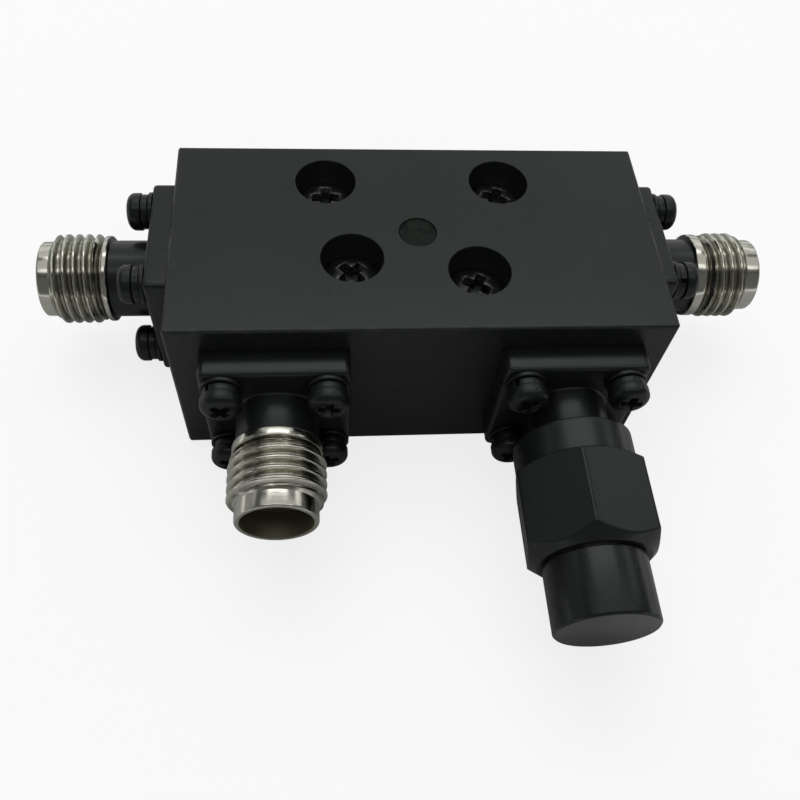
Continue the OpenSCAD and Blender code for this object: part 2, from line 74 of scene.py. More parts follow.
# Where each port's shoulder ring, groove, thread and lead-in begin, a crest of the thread at the top, the
# end of the paint, and the ring's radius
Turning = namedtuple("Turning", "ring_s groove_s thread_s lead_s crest_s paint_end ring_r")
TURNED = {
    "left": Turning(4.95, 5.38, 5.55, 9.0, 6.506, 5.05, 3.05),
    "right": Turning(4.75, 5.5, 5.8, 8.8, 6.666, 4.78, 3.08),
    "coupled": Turning(4.45, 5.15, 5.35, 8.7, 6.0, 4.5, RING_R),
    "isolated": Turning(RING_S, 5.4, 5.8, LEAD_S, 5.8, 4.95, RING_R),
}

# Each screw is its place in x and y and its turn in degrees
FLANGE_SCREWS = [(-3.35, -3.35, 20.0), (-3.35, 3.35, 65.0), (3.35, 3.35, 40.0), (3.35, -3.35, 85.0)]
COVER_SCREWS = [(-6.1, 4.75, 0.0), (6.1, 4.75, -25.0), (-4.5, -2.25, 45.0), (3.85, -3.4, -30.0)]

# Points round a port, and the angles in degrees up to which two faces shade as one
COLUMNS = 128
SMOOTH, CRISP, DROP = 38.0, 30.0, 80.0


# Surfaces

def filleted(corners, steps=4):
    """Outline with rounded corners. Each corner is (along, radius from the axis, fillet), and its arc
    touches both sides at the distance fillet / tan(half the angle) from the corner."""
    corner = np.array(corners, float)
    spot, fillet = corner[:, :2], corner[:, 2].copy()
    fillet[[0, -1]] = 0
    back = np.vstack([spot[:1] - spot[1:2], spot[:-1] - spot[1:]])
    ahead = np.vstack([spot[1:] - spot[:-1], spot[-1:] - spot[-2:-1]])
    back /= np.linalg.norm(back, axis=1, keepdims=True)
    ahead /= np.linalg.norm(ahead, axis=1, keepdims=True)
    half = np.arccos(np.clip((back * ahead).sum(1), -1, 1)) / 2
    cut = fillet / np.maximum(np.tan(half), 1e-9)
    middle = back + ahead
    middle /= np.maximum(np.linalg.norm(middle, axis=1, keepdims=True), 1e-9)
    centre = spot + middle * (fillet / np.maximum(np.sin(half), 1e-9))[:, None]
    start, end = spot + back * cut[:, None] - centre, spot + ahead * cut[:, None] - centre
    arc = np.pi - 2 * half
    share = np.linspace(0, 1, steps + 1)[None, :, None]
    wide = np.maximum(np.sin(arc), 1e-9)[:, None, None]
    turn = arc[:, None, None]
    bent = (np.sin((1 - share) * turn) * start[:, None] + np.sin(share * turn) * end[:, None]) / wide
    line = (centre[:, None] + np.where(turn > 1e-6, bent, start[:, None])).reshape(-1, 2)
    keep = np.r_[True, np.linalg.norm(np.diff(line, axis=0), axis=1) > 1e-7]
    return line[keep]


def revolved(line, angles):
    """Surface of an outline turned about the local z: each row is (r cos a, r sin a, s)."""
    s, r = line[:, 0][:, None], line[:, 1][:, None]
    return np.stack([r * np.cos(angles), r * np.sin(angles), s + 0 * angles], -1)


def patch(points, wrap=False, loop=False):
    """Quads of a grid of points. wrap closes each row on itself, loop joins the last row to the first."""
    rows, columns = points.shape[:2]
    index = np.arange(rows * columns).reshape(rows, columns)
    if wrap:
        index = np.hstack([index, index[:, :1]])
    if loop:
        index = np.vstack([index, index[:1]])
    quads = np.stack([index[:-1, :-1], index[:-1, 1:], index[1:, 1:], index[1:, :-1]], -1)
    return points.reshape(-1, 3), quads.reshape(-1, 4)


def joined(parts):
    """One list of points and quads from several."""
    starts = np.cumsum([0] + [len(points) for points, _ in parts[:-1]])
    return (np.vstack([points for points, _ in parts]),
            np.vstack([quads + start for start, (_, quads) in zip(starts, parts)]))


def turned(points, degrees):
    """Points turned about the local z."""
    c, s = math.cos(math.radians(degrees)), math.sin(math.radians(degrees))
    return np.stack([c * points[..., 0] - s * points[..., 1], s * points[..., 0] + c * points[..., 1],
                     points[..., 2]], -1)


def at_port(points, port):
    """Points of a port's own frame, z outwards and x up, in the frame of the coupler."""
    x, y, turn = PORTS[port]
    flat = np.stack([-points[..., 2], points[..., 1], points[..., 0]], -1)
    return turned(flat, turn) + (x, y, PORT_Z)


def ported(shape, port):
    """Shape of a port's own frame in the frame of the coupler."""
    points, quads = shape
    return at_port(points, port), quads


def piece(name, shape, nodes, smooth=SMOOTH):
    """Closed mesh of points and quads in millimetres, with its doubled points merged and its faces outwards.
    It rides on the coupler and stands for the nodes."""
    points, quads = shape
    mesh = bpy.data.meshes.new(name)
    mesh.vertices.add(len(points))
    mesh.vertices.foreach_set("co", (points * MM).astype(np.float32).ravel())
    mesh.loops.add(quads.size)
    mesh.loops.foreach_set("vertex_index", quads.astype(np.int32).ravel())
    mesh.polygons.add(len(quads))
    mesh.polygons.foreach_set("loop_start", np.arange(0, quads.size, 4, dtype=np.int32))
    mesh.update(calc_edges=True)
    tidy = bmesh.new()
    tidy.from_mesh(mesh)
    bmesh.ops.remove_doubles(tidy, verts=tidy.verts, dist=4e-7)
    bmesh.ops.dissolve_degenerate(tidy, edges=tidy.edges, dist=1e-8)
    bmesh.ops.recalc_face_normals(tidy, faces=tidy.faces)
    open_edges = sum(not edge.is_manifold for edge in tidy.edges)
    if open_edges:
        print("open edges", name, open_edges)
    tidy.to_mesh(mesh)
    tidy.free()
    return placed(name, mesh, nodes, smooth)


def placed(name, mesh, nodes, smooth):
    """Object of a mesh, smooth up to an angle between faces, in place of the nodes."""
    mesh.polygons.foreach_set("use_smooth", np.ones(len(mesh.polygons), bool))
    mesh.set_sharp_from_angle(angle=math.radians(smooth))
    o = bpy.data.objects.new(name, mesh)
    bpy.context.scene.collection.objects.link(o)
    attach(o, "root")
    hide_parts(*nodes)
    return o


# Port shells

def flange_rim(count):
    """Points and outward directions round a square with rounded corners, from the middle of one side.
    Every quarter has the same points: half a side, the corner's arc, and half a side."""
    straight = FLANGE_S / 2 - FLANGE_R
    arc = np.linspace(0, np.pi / 2, 13)
    side = np.linspace(0, straight, count, endpoint=False)
    spot = np.vstack([
        np.stack([0 * side + FLANGE_S / 2, side], 1),
        straight + FLANGE_R * np.stack([np.cos(arc), np.sin(arc)], 1),
        np.stack([straight - side[1:], 0 * side[1:] + FLANGE_S / 2], 1),
    ])
    out = np.vstack([
        np.stack([0 * side + 1, 0 * side], 1), np.stack([np.cos(arc), np.sin(arc)], 1),
        np.stack([0 * side[1:], 0 * side[1:] + 1], 1),
    ])
    quarters = [np.array([[math.cos(a), math.sin(a)], [-math.sin(a), math.cos(a)]])
                for a in (0, math.pi / 2, math.pi, 1.5 * math.pi)]
    return (np.vstack([spot @ q for q in quarters]), np.vstack([out @ q for q in quarters]), len(spot))


def flange_face(rim, quarter, ring_r, s, holes=None):
    """Flat face of the flange between its rim, its round middle and the four screw holes. In each
    quarter, straight lines run from every point of the border to the hole's circle."""
    parts, hole_rings = [], []
    across = np.linspace(0, 1, 8)[1:-1, None]
    for k in range(4):
        outer = np.roll(rim, -k * quarter, axis=0)[:quarter + 1]
        angle = (k + np.linspace(0, 1, COLUMNS // 4 + 1)) * np.pi / 2
        inner = ring_r * np.stack([np.cos(angle), np.sin(angle)], 1)
        ahead = outer[-1] + (inner[-1] - outer[-1]) * across
        behind = inner[0] + (outer[0] - inner[0]) * across
        border = np.vstack([outer, ahead, inner[::-1], behind])
        if holes is None:
            middle = np.array([math.cos((k + 0.5) * math.pi / 2), math.sin((k + 0.5) * math.pi / 2)])
            middle *= FLANGE_PITCH / math.sqrt(2)
            away = border - middle
            hole = middle + (PORT_SHANK_R + SCREW_FIT) * away / np.linalg.norm(away, axis=1, keepdims=True)
        else:
            hole = holes[k]
        hole_rings.append(hole)
        flat = np.stack([border, border + (hole - border) * 0.5, hole])
        parts.append(patch(np.dstack([flat, np.full(flat.shape[:2], s)]), wrap=True))
    return parts, hole_rings


def thread(angles, start, crest, lead):
    """Right-handed thread between the groove and the lead-in. Each row of points keeps its turn u from the
    first crest and winds outwards, s = crest + pitch (u + a / 2 pi), held between both ends. The depth
    rises with the distance from the crest, over a rounded V between a flat crest and a flat root. Cones
    at both ends bring the crests down to the root."""
    half = np.array([0, 0.07, 0.10, 0.125, 0.18, 0.235, 0.29, 0.345, 0.375, 0.405])
    turn = np.r_[-half[:0:-1], half, 0.5]
    u = (turn + np.arange(-2, 8)[:, None]).ravel()[:, None]
    s = np.clip(crest + PITCH * (u + angles / (2 * np.pi)), start, lead)
    aside = 2 * np.abs(u - np.round(u))
    flank = [0, 0.14, 0.20, 0.25, 0.69, 0.75, 0.81, 1], [0, 0.01, 0.04, 0.11, 0.91, 0.97, 1, 1]
    first_cone, last_cone = 1.15, 1.3
    r = THREAD_R - THREAD_DEPTH * np.interp(aside, *flank)
    r = np.minimum(r, THREAD_R - THREAD_DEPTH + (s - start) * first_cone)
    r = np.minimum(r, LEAD_R + (lead - s) * last_cone)
    return np.stack([r * np.cos(angles), r * np.sin(angles), s], -1)


def shell(port):
    """Flange, neck, ring, thread and lead-in as one closed surface, bored through. The flange's rim is drawn
    in along the outline of its edge."""
    cut = TURNED[port]
    angles = np.arange(COLUMNS + 1) * 2 * np.pi / COLUMNS
    rim, out, quarter = flange_rim(8)
    edge = filleted([(0, -0.4, 0), (0, 0, FLANGE_BACK_EDGE), (FLANGE_T, 0, FLANGE_FRONT_EDGE),
                     (FLANGE_T, -0.4, 0)])[1:-1]
    wall = np.stack([np.column_stack([rim + out * r, np.full(len(rim), s)]) for s, r in edge])
    front, holes = flange_face(rim + out * edge[-1][1], quarter, NECK_R + NECK_FOOT, FLANGE_T)
    back, _ = flange_face(rim + out * edge[0][1], quarter, BEAD_R, 0.0, holes)
    bores = [patch(np.stack([np.column_stack([hole, np.full(len(hole), s)]) for s in (0.0, FLANGE_T)]),
                   wrap=True) for hole in holes]
    neck = filleted([
        (FLANGE_T, NECK_R + NECK_FOOT, 0), (FLANGE_T, NECK_R, 0.15), (cut.ring_s, NECK_R, 0.05),
        (cut.ring_s, cut.ring_r, 0.12), (cut.groove_s, cut.ring_r, 0.12), (cut.groove_s, GROOVE_R, 0.05),
        (cut.thread_s, GROOVE_R, 0.05), (cut.thread_s, THREAD_R - THREAD_DEPTH, 0)])
    bore = filleted([
        (cut.lead_s, LEAD_R, 0), (REACH, LEAD_R, 0.14), (REACH, MOUTH_R, 0.07), (PLANE_S, MOUTH_R, 0.04),
        (PLANE_S, AIR_R, 0.03), (BEAD_S, AIR_R, 0.02), (BEAD_S, BEAD_R, 0.02), (0.0, BEAD_R, 0)])
    round_parts = [revolved(neck, angles), thread(angles, cut.thread_s, cut.crest_s, cut.lead_s),
                   revolved(bore, angles)]
    parts = [patch(wall, wrap=True)] + [patch(rows) for rows in round_parts]
    return ported(joined(parts + front + back + bores), port)


# Screws and washers

def pan_screw(shank_r, shank_l, head_r, rim, dome, flat):
    """Screw with a cross recess. Its head is a height over a square grid whose outer rings are drawn
    out to circles: a point p moves to p (1 + w (max norm / length - 1)), with w from 0 to 1 outside the
    recess. The dome is a quarter of an ellipse round a flat middle. Each arm of the recess is as deep as
    the least of its end's slope, its sides' slope and the full depth, and the deeper arm counts. A slope is
    gentle over the lip and steep inside it."""
    depth = RECESS_DEPTH * (rim + dome) / head_r
    side, end, lip, lip_slope = 7.0, 2.2, 0.04, 0.6
    bend = np.linspace(0, np.pi / 2, 12)
    rings = flat + (1 - flat) * np.sin(bend)
    half = np.r_[0, 0.05, RECESS_W - depth / side, RECESS_W - 0.4 * depth / side, RECESS_W, RECESS_W + lip,
                 0.26, RECESS_L - depth / end, 0.44, 0.5, RECESS_L, RECESS_L + lip]
    half = np.unique(np.round(np.r_[half, rings[rings > RECESS_L + 0.05], 1.0], 5))
    line = np.r_[-half[:0:-1], half]
    a, b = np.meshgrid(line, line, indexing="ij")
    square = np.maximum(abs(a), abs(b))
    length = np.maximum(np.hypot(a, b), 1e-9)
    blend = np.clip((square - 0.3) / 0.4, 0, 1)
    blend = blend * blend * (3 - 2 * blend)
    scale = 1 + blend * (square / length - 1)
    x, y = a * scale, b * scale
    r = np.minimum(np.hypot(x, y), 1.0)
    out = np.clip((r - flat) / (1 - flat), 0, 1)
    height = dome / head_r * (np.sqrt(1 - out * out) - 1)

    def arm(along, across):
        inside = np.stack([RECESS_W + lip - abs(across), RECESS_L + lip - abs(along)])
        steep = np.array([side, end])[:, None, None]
        slopes = np.where(inside < lip, lip_slope * inside, lip_slope * lip + (inside - lip) * steep)
        return np.clip(slopes.min(0), 0, depth)

    height = height - np.maximum(arm(a, b), arm(b, a))
    top = np.stack([x, y, height + (rim + dome) / head_r], -1) * head_r
    border = np.vstack([top[:-1, 0], top[-1, :-1], top[:0:-1, -1], top[0, :0:-1]])[:, :2] / head_r
    border /= np.linalg.norm(border, axis=1, keepdims=True)
    under = filleted([(rim, head_r, 0), (0, head_r, 0.06), (0, shank_r, 0), (0.15 - shank_l, shank_r, 0),
                      (-shank_l, shank_r - 0.15, 0), (-shank_l, 0, 0)])
    body = np.stack([np.column_stack([border * ring_r, np.full(len(border), s)]) for s, ring_r in under])
    return joined([patch(top), patch(body, wrap=True)])


def recess_wear(o):
    """Attribute "worn" of the cover screws: 1 on the rims and upper walls of each cross recess, 0 away from
    them. It falls with the distance to the outline of the cross, which is the lesser of its two arms'
    distances, each the larger of how far the point lies past the arm's end and past its side."""
    spots = np.empty(len(o.data.vertices) * 3, np.float32)
    o.data.vertices.foreach_get("co", spots)
    spots = spots.reshape(-1, 3) / MM
    worn = np.zeros(len(spots))
    for x, y, turn in COVER_SCREWS:
        a, b, _ = abs(turned(spots - (x, y, 0), -turn)).T / COVER_HEAD_R
        gap = np.minimum(np.maximum(a - RECESS_L, b - RECESS_W), np.maximum(b - RECESS_L, a - RECESS_W))
        worn = np.maximum(worn, np.clip(1.2 - abs(gap) / 0.08, 0, 1))
    worn = np.where(spots[:, 2] > SEAT_Z + COVER_RIM, worn, 0)
    o.data.attributes.new("worn", "FLOAT", "POINT").data.foreach_set("value", worn.astype(np.float32))


def placed_copies(shape, places, lift):
    """The same shape at each place of a list, turned, with its seat at the height lift."""
    points, quads = shape
    return joined([(turned(points, turn) + (x, y, lift), quads) for x, y, turn in places])


def washer(inner_r, outer_r, thick, edge_r, cut=0.0, rise=0.0):
    """Ring of a rectangle with rounded corners. A cut leaves it open between two flat ends, and rise
    lifts one end over the other."""
    half = (outer_r - inner_r) / 2
    middle = (outer_r + inner_r) / 2
    corner = filleted([(0.0, 0, 0), (0.0, half, edge_r), (thick, half, edge_r), (thick, 0, 0)])
    outline = np.vstack([corner[:-1], (corner * (1, -1))[:0:-1]])
    if cut:
        gap = math.asin(cut / 2 / middle)
        angles = np.linspace(gap, 2 * np.pi - gap, 61)
    else:
        angles = np.linspace(0, 2 * np.pi, 72, endpoint=False)
    s, r = outline[:, 0], outline[:, 1] + middle
    lift = rise * (angles / (2 * np.pi) - 0.5)
    ring = np.stack([r * np.cos(angles)[:, None], r * np.sin(angles)[:, None],
                     s * (1 - abs(rise) / thick) + abs(rise) / 2 + lift[:, None]], -1)
    if not cut:
        return patch(ring, wrap=True, loop=True)
    caps = [patch(np.stack([end, np.broadcast_to(end.mean(0), end.shape)]), wrap=True)
            for end in ring[[0, -1]]]
    return joined([patch(ring, wrap=True)] + caps)


# Load

def nut():
    """Coupling nut. Outside, its radius is the larger of the collar and the soft minimum of a rounded
    hexagon and two cones. The hexagon is half its width over the 90-norm of the cosines to its flats."""
    share = np.linspace(-1, 1, 26, endpoint=False)
    sector = 30 * np.sign(share) * np.abs(share) ** 1.7
    angles = np.radians((HEX_TURN + np.arange(6)[:, None] * 60 + sector).ravel())
    normals = np.radians(HEX_TURN + 30 + np.arange(6) * 60)
    facing = np.maximum(np.cos(angles[:, None] - normals), 0)
    hexagon = HEX_AF / 2 / (facing ** 90).sum(1) ** (1 / 90)
    corner_r = HEX_AF / 2 / math.cos(math.pi / 6)
    edge = 0.07
    first, last = RING_S + 0.3, NUT_END - edge
    s = np.r_[np.linspace(first, COLLAR_S - 0.1, 5), np.linspace(COLLAR_S, COLLAR_S + 0.55, 15),
              np.linspace(COLLAR_S + 1, NUT_END - 1.4, 6), np.linspace(NUT_END - 1.2, last, 30)][:, None]

    def soft_min(one, two):
        share = np.clip(0.5 + 0.5 * (two - one) / edge, 0, 1)
        return two + (one - two) * share - edge * share * (1 - share)

    inner_cone = COLLAR_R + (s - COLLAR_S) * (corner_r - COLLAR_R) / COLLAR_CONE
    outer_cone = NUT_TIP_R + (NUT_END - s) * (corner_r - NUT_TIP_R) / NUT_CONE
    r = soft_min(soft_min(hexagon + 0 * s, inner_cone), outer_cone)
    r = np.maximum(r, np.where(s < COLLAR_S + COLLAR_CONE, COLLAR_R, 0))
    outside = np.stack([r * np.cos(angles), r * np.sin(angles), s + 0 * angles], -1)
    rest = filleted([
        (last, NUT_TIP_R + edge, 0), (NUT_END, NUT_TIP_R - 0.01, 0.05), (NUT_END, STEM_R + 0.02, 0.05),
        (LIP_S, STEM_R + 0.02, 0), (LIP_S, THREAD_R + 0.02, 0), (RING_S, THREAD_R + 0.02, 0.1),
        (RING_S, COLLAR_R, 0.12), (first, COLLAR_R, 0)])
    return at_port(np.vstack([outside, revolved(rest, angles)[1:-1]]), "isolated")


def cap():
    """Closed cap of the load with a bevelled end and a socket for the stem's spigot."""
    angles = np.arange(COLUMNS) * 2 * np.pi / COLUMNS
    line = filleted([
        (CAP_FLOOR, 0, 0), (CAP_FLOOR, SPIGOT_R, 0), (CAP_S, SPIGOT_R, 0.04), (CAP_S, CAP_R, 0.09),
        (CAP_END - CAP_CHAMFER, CAP_R, 0.1), (CAP_END, CAP_R - CAP_CHAMFER, 0.1), (CAP_END, 0, 0)])
    return at_port(revolved(line, angles), "isolated")


def lacquer():
    """Drop of lacquer over the tuning screw: a low dome with a raised edge against the wall of its hole and
    two soft waves across it."""
    angles = np.arange(72) * 2 * np.pi / 72
    floor_z = BODY_H - LACQUER_T
    r = np.sin(np.linspace(0, np.pi / 2, 26))[:, None] * LACQUER_R
    x, y = r * np.cos(angles), r * np.sin(angles)
    top = BODY_H - LACQUER_SUNK + 0.05 * (1 - (r / LACQUER_R) ** 2)
    top = top + 0.08 * np.clip((r - 1.0) / 0.25, 0, 1) ** 2
    top = top + 0.03 * np.sin(3.1 * x + 1.6 * y + 0.6) + 0.02 * np.sin(4.2 * y - 2.0 * x)
    drop = np.stack([x, y, top], -1)
    wall = np.stack([np.stack([x[-1], y[-1], 0 * angles + z], -1) for z in (floor_z + 0.4, floor_z)])
    floor = np.zeros((1, len(angles), 3)) + (0, 0, floor_z)
    return np.vstack([drop, wall, floor])


def housing():
    """Copy of the housing's solid with its loose triangles merged. The rims of the holes in its top are
    rounded. Its flat sides keep their own normals, and a bevel between them takes at each of its corners
    the normal of the flat side that it meets there, so that it shades as a round edge."""
    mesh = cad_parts["housing"].data.copy()
    tidy = bmesh.new()
    tidy.from_mesh(mesh)
    bmesh.ops.remove_doubles(tidy, verts=tidy.verts, dist=1e-7)
    top = BODY_H * MM - 1e-6
    rims = [edge for edge in tidy.edges if min(v.co.z for v in edge.verts) > top
            and edge.calc_face_angle(0) > math.radians(60)]
    bmesh.ops.bevel(tidy, geom=rims, offset=0.08 * MM, segments=3, profile=0.5, affect="EDGES")
    bmesh.ops.triangulate(tidy, faces=tidy.faces)
    tidy.to_mesh(mesh)
    tidy.free()
    o = placed("housing_block", mesh, ["housing"], CRISP)
    count = len(mesh.polygons)
    normal, middle, corner = (np.empty(size * count, np.float32) for size in (3, 3, 9))
    mesh.polygons.foreach_get("normal", normal)
    mesh.polygons.foreach_get("center", middle)
    mesh.corner_normals.foreach_get("vector", corner)
    normal, corner = normal.reshape(-1, 3), corner.reshape(-1, 3, 3)
    middle = abs(middle.reshape(-1, 3)) / MM
    vertex = np.empty(3 * count, np.int32)
    mesh.loops.foreach_get("vertex_index", vertex)
    vertex = vertex.reshape(-1, 3)
    sides = np.array([BODY_L / 2, BODY_W / 2, BODY_H])
    outer = middle > sides - 0.01
    flat = ((abs(normal) > 0.9999) & (outer | np.array([False, False, True]))).any(1)
    share = np.zeros((len(mesh.vertices), 3))
    np.add.at(share, vertex[flat].ravel(), np.repeat(normal[flat], 3, axis=0))
    share /= np.maximum(np.linalg.norm(share, axis=1, keepdims=True), 1e-9)
    near = middle > sides - EDGE_CUT
    bevel = ~flat & (near.sum(1) > 1)
    corner[flat] = normal[flat][:, None]
    corner[bevel] = share[vertex[bevel]]
    mesh.normals_split_custom_set(corner.reshape(-1, 3).tolist())
    return o


made = {"housing": housing()}
screw_r = PORT_SHANK_R + SCREW_FIT
spring_s = FLANGE_T + FLAT_T
head_s = spring_s + SPRING_T
screws = placed_copies(pan_screw(PORT_SHANK_R, head_s + PORT_BITE, PORT_HEAD_R, PORT_RIM, PORT_DOME, 0.5),
                       FLANGE_SCREWS, head_s)
split_washers = placed_copies(washer(screw_r, SPRING_R, SPRING_T, SPRING_EDGE, SPRING_CUT, SPRING_RISE),
                              FLANGE_SCREWS, spring_s)
plain_washers = placed_copies(washer(screw_r, FLAT_R, FLAT_T, FLAT_EDGE), FLANGE_SCREWS, FLANGE_T)
for port in PORTS:
    made[port + "_shell"] = piece(port + "_port", shell(port), [port + "_shell"])
    made[port + "_screws"] = piece(port + "_pan_screws", ported(screws, port), [port + "_screws"],
                                   CRISP)
    made[port + "_spring"] = piece(port + "_split_washers", ported(split_washers, port),
                                   [port + "_spring_washers"])
    made[port + "_flat"] = piece(port + "_plain_washers", ported(plain_washers, port),
                                 [port + "_flat_washers"])
screw = pan_screw(COVER_SHANK_R, COVER_L, COVER_HEAD_R, COVER_RIM, COVER_DOME, 0.0)
made["cover_screws"] = piece("cover_pan_screws", placed_copies(screw, COVER_SCREWS, SEAT_Z), ["cover_screws"],
                             CRISP)
recess_wear(made["cover_screws"])
made["nut"] = piece("coupling_nut", patch(nut(), wrap=True, loop=True), ["load_nut"], CRISP)
made["cap"] = piece("load_end_cap", patch(cap(), wrap=True), ["load_cap"])
made["lacquer"] = piece("lacquer_drop", patch(lacquer(), wrap=True), ["sealing_lacquer"], DROP)


# Materials

class Value:
    """A socket's value. Arithmetic on it adds Math nodes."""

    def __init__(self, tree, socket):
        self.tree, self.socket = tree, socket

    def math(self, operation, one, two=None, clamp=False):
        node = self.tree.nodes.new("ShaderNodeMath")
        node.operation, node.use_clamp = operation, clamp
        for slot, value in zip(node.inputs, (one, two)):
            if isinstance(value, Value):
                self.tree.links.new(value.socket, slot)
            elif value is not None:
                slot.default_value = value
        return Value(self.tree, node.outputs[0])

    def __add__(self, other):
        return self.math("ADD", self, other)

    __radd__ = __add__

    def __sub__(self, other):
        return self.math("SUBTRACT", self, other)

    def __rsub__(self, other):
        return self.math("SUBTRACT", other, self)

    def __mul__(self, other):
        return self.math("MULTIPLY", self, other)

    __rmul__ = __mul__

    def __truediv__(self, other):
        return self.math("DIVIDE", self, other)

    def __pow__(self, other):
        return self.math("POWER", self, other)

    def __abs__(self):
        return self.math("ABSOLUTE", self)

    def least(self, other):
        return self.math("MINIMUM", self, other)

    def most(self, other):
        return self.math("MAXIMUM", self, other)

    def clamped(self):
        return self.math("ADD", self, 0.0, clamp=True)

    def step(self, low, high):
        """0 at low, 1 at high, and a smooth step between them."""
        t = ((self - low) / (high - low)).clamped()
        return t * t * (3 - 2 * t)


class Finish:
    """One material: a Principled shader whose sockets take numbers or values."""

    def __init__(self, name):
        self.material = bpy.data.materials.new(name)
        self.material.use_nodes = True
        self.tree = self.material.node_tree
        self.shader = next(n for n in self.tree.nodes if n.type == "BSDF_PRINCIPLED")
        self.place = self.node("TexCoord", output="Object")

    def node(self, kind, settings=None, inputs=None, output=0):
        """Any other node, from its type, its settings and the values or links of its sockets."""
        node = self.tree.nodes.new("ShaderNode" + kind)
        for key, value in (settings or {}).items():
            setattr(node, key, value)
        for key, value in (inputs or {}).items():
            self.feed(node.inputs[key], value)
        return Value(self.tree, node.outputs[output])

    def feed(self, socket, value):
        if isinstance(value, Value):
            self.tree.links.new(value.socket, socket)
        else:
            socket.default_value = value

    def coordinates(self):
        """Place in the coupler's frame in millimetres, as three values."""
        first = self.node("SeparateXYZ", inputs={"Vector": self.place})
        return [Value(self.tree, socket) * (1 / MM) for socket in first.socket.node.outputs]

    def noise(self, size, detail, rough, stretch=None):
        """Noise with features of a size in millimetres, between 0 and 1 about 0.5. The stretch scales the
        coordinates before it, so a small number draws the features out along that axis."""
        where = self.place
        if stretch:
            where = self.node("Mapping", inputs={"Vector": self.place, "Scale": stretch})
        return self.node("TexNoise", inputs={"Vector": where, "Scale": 1 / (size * MM), "Detail": detail,
                                             "Roughness": rough}, output="Fac")

    def mix(self, share, one, two, kind="RGBA"):
        """Colour between two colours, or vector between two vectors."""
        first, result = {"RGBA": (6, 2), "VECTOR": (4, 1)}[kind]
        ends = [end if isinstance(end, Value) else (*end, 1.0) for end in (one, two)]
        return self.node("Mix", {"data_type": kind}, {0: share, first: ends[0], first + 1: ends[1]}, result)

    def bump(self, height, depth):
        """Normal of a height between 0 and 1 whose full range is depth in millimetres."""
        return self.node("Bump", inputs={"Height": height, "Distance": depth * MM, "Strength": 1.0})

    def set(self, **sockets):
        for key, value in sockets.items():
            self.feed(self.shader.inputs[key.replace("_", " ")], value)
        return self


# Level and tint of the paint's gloss
PAINT_GLOSS = {"Specular_IOR_Level": 0.37, "Specular_Tint": (0.92, 1.0, 0.96, 1.0)}


def paint_look(finish, edge=None, shade=1.0, gloss=0.0):
    """Colour, roughness and normal of satin black paint: broad cloudy changes, fine grain, and edges that are
    a little lighter and smoother in patches, partly rubbed paint and partly a painted highlight along them. A
    shade below 1 darkens the colour, which paints shade on parts that sit in shadow."""
    cloud = finish.noise(6.0, 3.0, 0.6)
    grain = finish.noise(0.09, 2.0, 0.6)
    peel = finish.noise(0.5, 1.0, 0.5)
    colour = finish.mix(cloud, [c * shade for c in (0.0056, 0.0066, 0.0062)],
                        [c * shade for c in (0.0088, 0.0102, 0.0096)])
    rough = 0.29 - gloss + 0.10 * (cloud - 0.5) + 0.10 * (grain - 0.5)
    if edge is not None:
        # Lighter, smoother patches on the edges: partly rubbed paint, partly a painted highlight along them
        rub_and_highlight = edge * finish.noise(1.3, 4.0, 0.7).step(0.42, 0.66)
        colour = finish.mix(rub_and_highlight * 0.5, colour, (0.026, 0.027, 0.025))
        rough = rough - 0.06 * rub_and_highlight
    normal = finish.bump(0.75 * grain + 0.25 * peel, 0.005)
    return colour, rough, normal


def paint(name, edge=None, shade=1.0, gloss=0.0):
    finish = Finish(name)
    colour, rough, normal = paint_look(finish, edge(finish) if edge else None, shade, gloss)
    return finish.set(Base_Color=colour, Roughness=rough, Normal=normal, **PAINT_GLOSS).material


def shaded_cover_screw_black(name):
    """Black-finished steel whose recesses are scratched bright by the driver. Its paint colour is darkened to
    0.6, painted shade on the heads down in their counterbores.
    """
    finish = Finish(name)
    # Colour darkened to 0.6: painted shade in the counterbores
    colour, rough, normal = paint_look(finish, None, 0.6)
    worn = finish.node("Attribute", {"attribute_name": "worn"}, output="Fac")
    bright = worn * finish.noise(0.5, 3.0, 0.6).step(0.42, 0.66)
    return finish.set(Base_Color=finish.mix(bright, colour, (0.15, 0.15, 0.135)), Metallic=bright,
                      Roughness=rough + 0.1 * bright, Normal=normal, **PAINT_GLOSS).material


def block_edge(finish):
    """Near 1 along the edges of the block: there the second smallest distance to its sides is small. The
    paint is lighter there in patches, partly rubbed paint and partly a painted highlight.
    """
    x, y, z = finish.coordinates()
    dx, dy, dz = BODY_L / 2 - abs(x), BODY_W / 2 - abs(y), BODY_H - z
    second = dx.least(dy).most(dx.most(dy).least(dz))
    return 1 - second.step(0.05, 0.4)


def along(finish, port):
    """Distance along a port from the housing, and distance from its axis."""
    x, y, z = finish.coordinates()
    port_x, port_y, turn = PORTS[port]
    if turn == FRONT_TURN:
        return port_y - y, ((x - port_x) ** 2 + (z - PORT_Z) ** 2) ** 0.5
    out = x - port_x if turn else port_x - x
    return out, ((y - port_y) ** 2 + (z - PORT_Z) ** 2) ** 0.5


